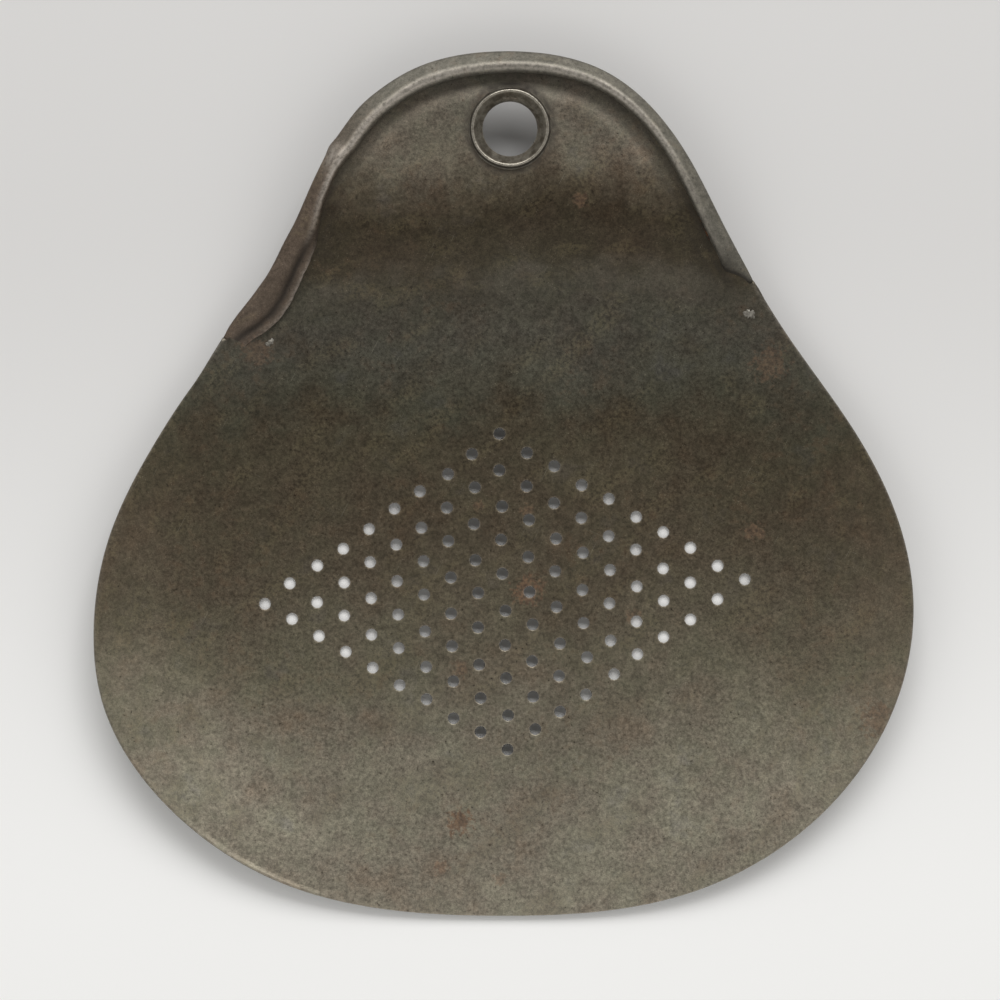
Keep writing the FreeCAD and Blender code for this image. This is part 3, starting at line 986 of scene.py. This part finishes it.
def aged_tin(name):
    """Old tin over sheet iron: mottled brown grey with painted shade and reflection down the sheet, rusty
    spots, dirt with painted shade in corners, worn edges with painted highlights.
    """
    finish = Finish(name)
    broad = finish.noise(0.035, 4.0, 0.55, shift=1.0)
    patch = finish.noise(0.10, 4.0, 0.62, shift=2.0)
    mottle = finish.noise(0.42, 4.0, 0.62, shift=3.0)
    grain = finish.noise(1.5, 4.0, 0.68, shift=4.0)
    fine = finish.noise(4.2, 2.0, 0.6, shift=5.0)
    drift = finish.span(broad, 0.2, 0.8, -6.0, 6.0)
    drift = finish.math("ADD", drift, finish.span(patch, 0.2, 0.8, -3.5, 3.5))
    # Painted shade and reflection: the ramp makes the sheet lighter towards the front and darker just
    # past the bend, over the tin's own tones.
    level = finish.math("ADD", finish.axis(1), drift)
    level = finish.math("DIVIDE", finish.math("SUBTRACT", level, ZONE_LOW), ZONE_SPAN)
    colour = finish.ramp(level, [((y - ZONE_LOW) / ZONE_SPAN, tone(*seen)) for y, seen in SHEET_TONES_AND_SHADING])
    shown = finish.note("shown")
    back = finish.mix(finish.span(patch, 0.3, 0.7), tone(78, 72, 62), tone(104, 99, 89))
    colour = finish.mix(shown, back, colour)
    tint = finish.ramp(patch, [
        (0.30, tone(255, 241, 231)),
        (0.45, tone(250, 246, 240)),
        (0.60, tone(247, 250, 240)),
        (0.72, tone(244, 247, 252)),
    ])
    colour = finish.mix(0.8, colour, tint, "MULTIPLY")
    roll = finish.note("roll")
    left = finish.span(finish.axis(0), -20.0, -38.0)
    roll_tone = finish.mix(left, tone(116, 113, 104), tone(104, 91, 80))
    colour = finish.mix(finish.math("MULTIPLY", roll, 0.8), colour, roll_tone)
    shade = finish.math("MULTIPLY", finish.span(mottle, 0.28, 0.72, 0.84, 1.16),
                        finish.span(grain, 0.26, 0.74, 0.74, 1.26))
    shade = finish.math("MULTIPLY", shade, finish.span(fine, 0.28, 0.72, 0.84, 1.16))
    colour = finish.mix(1.0, colour, shade, "MULTIPLY")
    brown = finish.math("MULTIPLY", finish.span(mottle, 0.52, 0.66), finish.span(broad, 0.44, 0.58))
    colour = finish.mix(finish.math("MULTIPLY", brown, 0.24), colour, tone(96, 74, 56))
    olive = finish.streaks(38.0, 16.0, 5.0, 0.52, 0.72, 11.0)
    olive = finish.math("MULTIPLY", olive, finish.span(grain, 0.4, 0.6))
    colour = finish.mix(finish.math("MULTIPLY", olive, 0.22), colour, tone(118, 108, 80))
    pits = finish.math("MULTIPLY", finish.span(grain, 0.37, 0.29), finish.span(mottle, 0.42, 0.56))
    colour = finish.mix(finish.math("MULTIPLY", pits, 0.8), colour, tone(42, 35, 28))
    specks = finish.math("MULTIPLY", finish.span(fine, 0.66, 0.74), finish.span(mottle, 0.46, 0.60))
    colour = finish.mix(finish.math("MULTIPLY", specks, 0.5), colour, tone(158, 148, 130))
    scratches = finish.streaks(63.0, 9.0, 0.11, 0.74, 0.80, 21.0)
    scratches = finish.math("MAXIMUM", scratches, finish.streaks(-24.0, 12.0, 0.10, 0.76, 0.82, 22.0))
    scratches = finish.math("MULTIPLY", scratches, finish.span(patch, 0.42, 0.6))
    colour = finish.mix(finish.math("MULTIPLY", scratches, 0.45), colour, tone(150, 144, 130))
    rust = None
    for x, y, radius, strength in RUST:
        spot = finish.math("MULTIPLY", finish.spot(x, y, radius), strength)
        rust = spot if rust is None else finish.math("MAXIMUM", rust, spot)
    rust = finish.math("MULTIPLY", rust, shown)
    rust_tone = finish.mix(finish.span(grain, 0.35, 0.65), tone(66, 45, 31), tone(112, 84, 60))
    colour = finish.mix(rust, colour, rust_tone)
    # Dirt with painted shade darkens the sheet beside the roll and round the ring's foot, and the inside
    # and tuck of the curl.
    dirt_and_shade = finish.broken_note("dirt_and_shade", finish.span(grain, 0.25, 0.6, 0.75, 1.1))
    colour = finish.mix(finish.math("MULTIPLY", dirt_and_shade, 0.85), colour, tone(40, 34, 28))
    # Wear with painted highlights brightens the roll's crest, the hole rims and the edges.
    wear_and_sheen = finish.broken_note("wear_and_sheen", finish.span(grain, 0.3, 0.62, 0.45, 1.25))
    colour = finish.mix(finish.math("MULTIPLY", wear_and_sheen, 0.75), colour, tone(186, 178, 168))
    finish.put(finish.shader.inputs["Base Color"], colour)
    metal = finish.math("SUBTRACT", 0.82, finish.math("MULTIPLY", rust, 0.6))
    metal = finish.math("SUBTRACT", metal, finish.math("MULTIPLY", dirt_and_shade, 0.45), clamp=True)
    finish.put(finish.shader.inputs["Metallic"], metal)
    rough = finish.span(patch, 0.3, 0.7, 0.44, 0.54)
    rough = finish.math("ADD", rough, finish.math("MULTIPLY", dirt_and_shade, 0.2))
    rough = finish.math("ADD", rough, finish.math("MULTIPLY", roll, 0.08))
    rough = finish.math("ADD", rough, finish.math("MULTIPLY", rust, 0.25))
    rough = finish.math("SUBTRACT", rough, finish.math("MULTIPLY", wear_and_sheen, 0.14))
    rough = finish.math("ADD", rough, finish.span(grain, 0.3, 0.7, -0.05, 0.05))
    finish.put(finish.shader.inputs["Roughness"], rough)
    normal = finish.bump(finish.noise(0.25, 3.0, 0.5, shift=6.0), 0.05)
    normal = finish.bump(mottle, 0.035, normal=normal)
    normal = finish.bump(grain, 0.03, normal=normal)
    normal = finish.bump(fine, 0.010, normal=normal)
    finish.put(finish.shader.inputs["Normal"], normal)
    return finish.material


def ring_tin(name):
    """The pressed ring: greyer tin, worn bright with a painted highlight on its crest and bore edge,
    darkened by dirt with painted shade at the foot of its lip.
    """
    finish = Finish(name)
    mottle = finish.noise(0.7, 5.0, 0.6, shift=1.0)
    grain = finish.noise(2.2, 4.0, 0.6, shift=2.0)
    colour = finish.mix(finish.span(mottle, 0.3, 0.7), tone(84, 77, 66), tone(122, 117, 106))
    colour = finish.mix(1.0, colour, finish.span(grain, 0.28, 0.72, 0.82, 1.15), "MULTIPLY")
    # Dirt with painted shade at the foot of the lip, wear with painted highlight on the crest and the
    # bore edge.
    dirt_and_shade = finish.broken_note("dirt_and_shade", finish.span(grain, 0.25, 0.6, 0.7, 1.1))
    colour = finish.mix(finish.math("MULTIPLY", dirt_and_shade, 0.9), colour, tone(36, 31, 26))
    wear_and_sheen = finish.broken_note("wear_and_sheen", finish.span(grain, 0.3, 0.6, 0.5, 1.2))
    colour = finish.mix(finish.math("MULTIPLY", wear_and_sheen, 0.7), colour, tone(176, 170, 158))
    finish.put(finish.shader.inputs["Base Color"], colour)
    metal = finish.math("SUBTRACT", 0.88, finish.math("MULTIPLY", dirt_and_shade, 0.5))
    finish.put(finish.shader.inputs["Metallic"], metal)
    rough = finish.span(mottle, 0.3, 0.7, 0.36, 0.46)
    rough = finish.math("SUBTRACT", rough, finish.math("MULTIPLY", wear_and_sheen, 0.1))
    finish.put(finish.shader.inputs["Roughness"], rough)
    normal = finish.bump(mottle, 0.03)
    normal = finish.bump(grain, 0.012, normal=normal)
    finish.put(finish.shader.inputs["Normal"], normal)
    return finish.material


def dull_solder(name):
    """Old solder: pale grey, dull, a little grainy."""
    finish = Finish(name)
    mottle = finish.noise(1.1, 4.0, 0.6, shift=1.0)
    grain = finish.noise(3.2, 3.0, 0.6, shift=2.0)
    colour = finish.mix(finish.span(mottle, 0.32, 0.68), tone(94, 90, 82), tone(142, 138, 130))
    colour = finish.mix(1.0, colour, finish.span(grain, 0.3, 0.7, 0.8, 1.15), "MULTIPLY")
    finish.put(finish.shader.inputs["Base Color"], colour)
    finish.put(finish.shader.inputs["Metallic"], 0.7)
    finish.put(finish.shader.inputs["Roughness"], finish.span(grain, 0.3, 0.7, 0.45, 0.6))
    normal = finish.bump(mottle, 0.06)
    normal = finish.bump(grain, 0.02, normal=normal)
    finish.put(finish.shader.inputs["Normal"], normal)
    return finish.material


def drawn_wire(name):
    """Dark iron wire with traces of rust."""
    finish = Finish(name)
    mottle = finish.noise(0.8, 4.0, 0.6, shift=1.0)
    grain = finish.noise(3.0, 3.0, 0.6, shift=2.0)
    colour = finish.mix(finish.span(mottle, 0.45, 0.7), tone(74, 70, 66), tone(104, 72, 50))
    colour = finish.mix(1.0, colour, finish.span(grain, 0.3, 0.7, 0.8, 1.2), "MULTIPLY")
    finish.put(finish.shader.inputs["Base Color"], colour)
    finish.put(finish.shader.inputs["Metallic"], 0.85)
    finish.put(finish.shader.inputs["Roughness"], finish.span(mottle, 0.3, 0.7, 0.4, 0.65))
    finish.put(finish.shader.inputs["Normal"], finish.bump(grain, 0.02))
    return finish.material


# Floor: half its side in metres, and its tone, a little paler towards the front as painted light
FLOOR_REACH = 3.0
FLOOR_FAR_Y = 60.0
FLOOR_NEAR_Y = -90.0
FLOOR_FAR_SHADED_TONE = (207, 206, 205)
FLOOR_NEAR_LIT_TONE = (237, 237, 236)


def make_stage():
    floor_finish = bpy.data.materials.new("studio_floor")
    floor_finish.use_nodes = True
    tree = floor_finish.node_tree
    shader = tree.nodes["Principled BSDF"]
    shader.inputs["Roughness"].default_value = 0.9
    coordinates = tree.nodes.new("ShaderNodeTexCoord")
    split = tree.nodes.new("ShaderNodeSeparateXYZ")
    tree.links.new(coordinates.outputs["Object"], split.inputs[0])
    span = tree.nodes.new("ShaderNodeMapRange")
    span.interpolation_type = "SMOOTHSTEP"
    span.inputs["From Min"].default_value = FLOOR_FAR_Y * MM
    span.inputs["From Max"].default_value = FLOOR_NEAR_Y * MM
    tree.links.new(split.outputs[1], span.inputs["Value"])
    # Painted light: the floor's colour grows paler from the back towards the front.
    blend = tree.nodes.new("ShaderNodeMix")
    blend.data_type = "RGBA"
    blend.inputs[6].default_value = tone(*FLOOR_FAR_SHADED_TONE)
    blend.inputs[7].default_value = tone(*FLOOR_NEAR_LIT_TONE)
    tree.links.new(span.outputs["Result"], blend.inputs[0])
    tree.links.new(blend.outputs[2], shader.inputs["Base Color"])
    mesh = bpy.data.meshes.new("studio_floor")
    corners = [(-1, -1), (1, -1), (1, 1), (-1, 1)]
    mesh.from_pydata([(x * FLOOR_REACH, y * FLOOR_REACH, 0) for x, y in corners], [], [(0, 1, 2, 3)])
    mesh.materials.append(floor_finish)
    floor = bpy.data.objects.new("studio_floor", mesh)
    bpy.context.collection.objects.link(floor)


# Brightness of the room's walls and its colour
WORLD_LEVEL = 1.16
WORLD_COLOUR = (1.0, 0.99, 0.97, 1.0)

# Softbox on the head's side, in metres and watts
KEY_PLACE = (0.25, 1.9, 1.7)
KEY_WIDTH = 2.2
KEY_HEIGHT = 1.2
KEY_WATTS = 46.0

UP = (0.0, 0.0, 1.0)
FORWARD = (0.0, -1.0, 0.0)


def make_softbox():
    light = bpy.data.lights.new("key", "AREA")
    light.shape = "RECTANGLE"
    light.size = KEY_WIDTH
    light.size_y = KEY_HEIGHT
    light.energy = KEY_WATTS
    lamp = bpy.data.objects.new("key", light)
    lamp.location = KEY_PLACE
    lamp.rotation_euler = (-Vector(KEY_PLACE)).to_track_quat("-Z", "Y").to_euler()
    bpy.context.collection.objects.link(lamp)


def make_lights():
    """Soft light from the walls and a softbox, with little from straight above or the horizon."""
    world = bpy.data.worlds.new("studio")
    world.use_nodes = True
    bpy.context.scene.world = world
    tree = world.node_tree
    background = tree.nodes["Background"]
    background.inputs["Color"].default_value = WORLD_COLOUR
    coordinates = tree.nodes.new("ShaderNodeTexCoord")

    def toward(direction, low, high, low_level, high_level):
        dot = tree.nodes.new("ShaderNodeVectorMath")
        dot.operation = "DOT_PRODUCT"
        dot.inputs[1].default_value = Vector(direction).normalized()
        tree.links.new(coordinates.outputs["Generated"], dot.inputs[0])
        span = tree.nodes.new("ShaderNodeMapRange")
        span.interpolation_type = "SMOOTHSTEP"
        span.inputs["From Min"].default_value = low
        span.inputs["From Max"].default_value = high
        span.inputs["To Min"].default_value = low_level
        span.inputs["To Max"].default_value = high_level
        tree.links.new(dot.outputs["Value"], span.inputs["Value"])
        return span.outputs["Result"]

    level = toward(UP, 0.72, 0.96, WORLD_LEVEL, 0.14 * WORLD_LEVEL)
    for part in (toward(UP, 0.05, 0.55, 0.12, 1.0), toward(FORWARD, 0.0, 0.8, 0.75, 1.0)):
        node = tree.nodes.new("ShaderNodeMath")
        node.operation = "MULTIPLY"
        tree.links.new(level, node.inputs[0])
        tree.links.new(part, node.inputs[1])
        level = node.outputs[0]
    tree.links.new(level, background.inputs["Strength"])
    make_softbox()


# Camera, square over the pan: distance, picture scale and the point under its middle
CAMERA_DISTANCE = 550.0
PIXELS_PER_MM = 5.273
RIM_LEVEL = 10.0
PICTURE_SIDE = 1000
SENSOR_MM = 36.0
VIEW_MIDDLE_X = -0.7
VIEW_MIDDLE_Y = -2.5


def make_camera():
    data = bpy.data.cameras.new("camera")
    data.sensor_width = SENSOR_MM
    data.lens = PIXELS_PER_MM * (CAMERA_DISTANCE - RIM_LEVEL) / PICTURE_SIDE * SENSOR_MM
    data.clip_start = 0.01
    camera = bpy.data.objects.new("camera", data)
    camera.location = (VIEW_MIDDLE_X * MM, VIEW_MIDDLE_Y * MM, CAMERA_DISTANCE * MM)
    bpy.context.collection.objects.link(camera)
    bpy.context.scene.camera = camera


def dress(piece, node):
    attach(piece, "root")
    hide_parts(node)


pan = make_pan(aged_tin("aged_tin"))
dress(pan, "skimmer_pan")
eyelet = make_eyelet(ring_tin("ring_tin"))
dress(eyelet, "hanging_eyelet")
solder = dull_solder("dull_solder")
left_tack = make_tack("solder_drop_left", "solder_tack_left", solder, 0.4)
dress(left_tack, "solder_tack_left")
right_tack = make_tack("solder_drop_right", "solder_tack_right", solder, 1.9)
dress(right_tack, "solder_tack_right")
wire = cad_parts["rim_wire"]
wire.data.materials.clear()
wire.data.materials.append(drawn_wire("drawn_wire"))

make_stage()
make_lights()
make_camera()
bpy.context.scene.view_settings.view_transform = "Standard"
